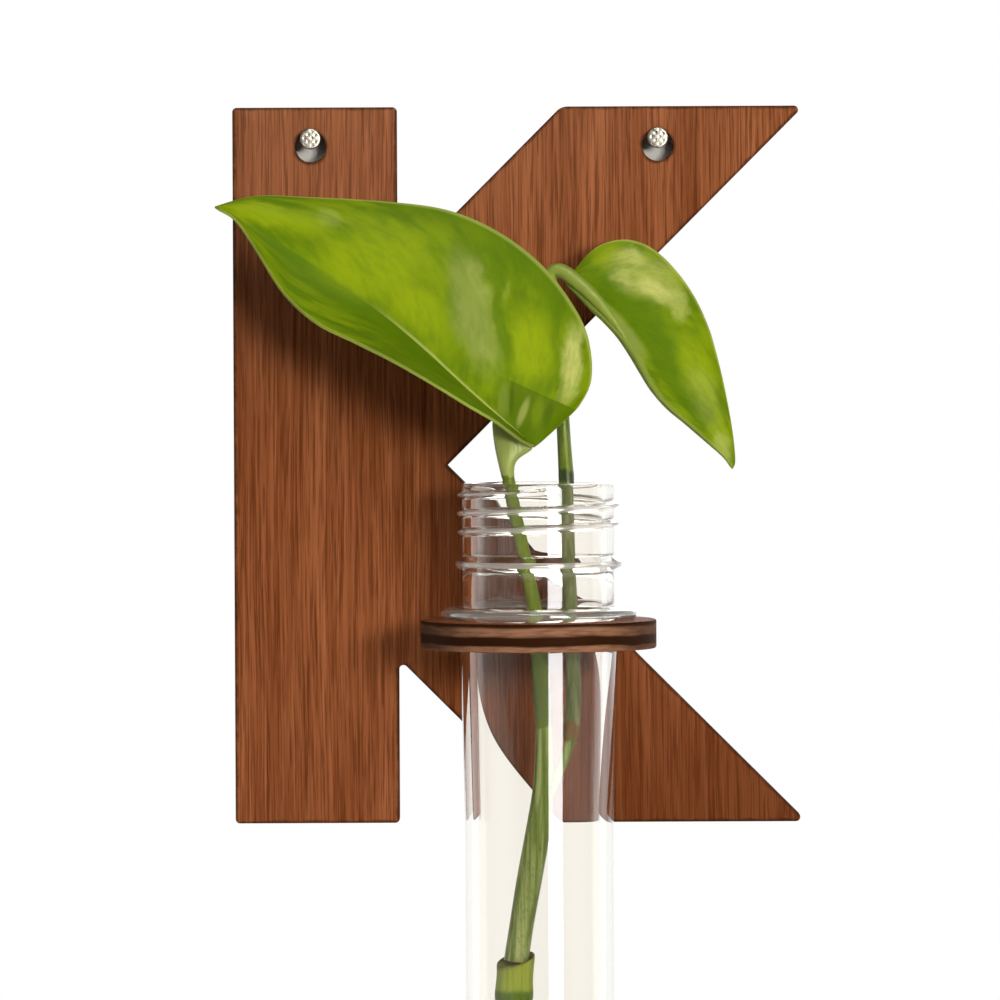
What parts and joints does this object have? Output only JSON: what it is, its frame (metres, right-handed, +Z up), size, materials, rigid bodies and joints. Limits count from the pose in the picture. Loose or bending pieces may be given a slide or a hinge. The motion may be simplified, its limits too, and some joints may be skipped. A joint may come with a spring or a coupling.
{
  "type": "propagation vase",
  "caption": "Propagation vase: a clear flanged tube with a leaf cutting hangs in a wooden ring on a board cut as a plain block letter, and the board hangs on wall nails.",
  "frame": {"origin": "on the wall, midway between the axes of the two nails", "axes": "+Z up, the front faces -Y and the wall lies at Y = 0, +X to the right as seen from the front"},
  "size_m": [0.0992, 0.0655, 0.2035],
  "materials": {
    "board_wood": "satin",
    "nail_steel": "satin",
    "clear_plastic": "gloss",
    "stalk": "satin",
    "collar": "satin",
    "root": "matte",
    "leaf": "satin"
  },
  "bodies": {
    "board": {"letter_board": "board_wood", "tube_ring": "board_wood", "wall_nails": "nail_steel"},
    "tube": {"tube": "clear_plastic"},
    "cutting": {"stem": "stalk", "node_collar": "collar", "stem_end": "stalk", "roots": "root", "sheath_right": "stalk", "petiole_right": "stalk", "petiole_left": "stalk", "leaf_right": "leaf", "leaf_left": "leaf"}
  },
  "joints": [
    {"name": "tube_lift", "type": "slide", "parent": "board", "child": "tube", "axis": [0, 0, 1], "range_m": [0, 0.12]},
    {"name": "cutting_lift", "type": "slide", "parent": "tube", "child": "cutting", "axis": [0, 0, 1], "range_m": [0, 0.115]}
  ]
}
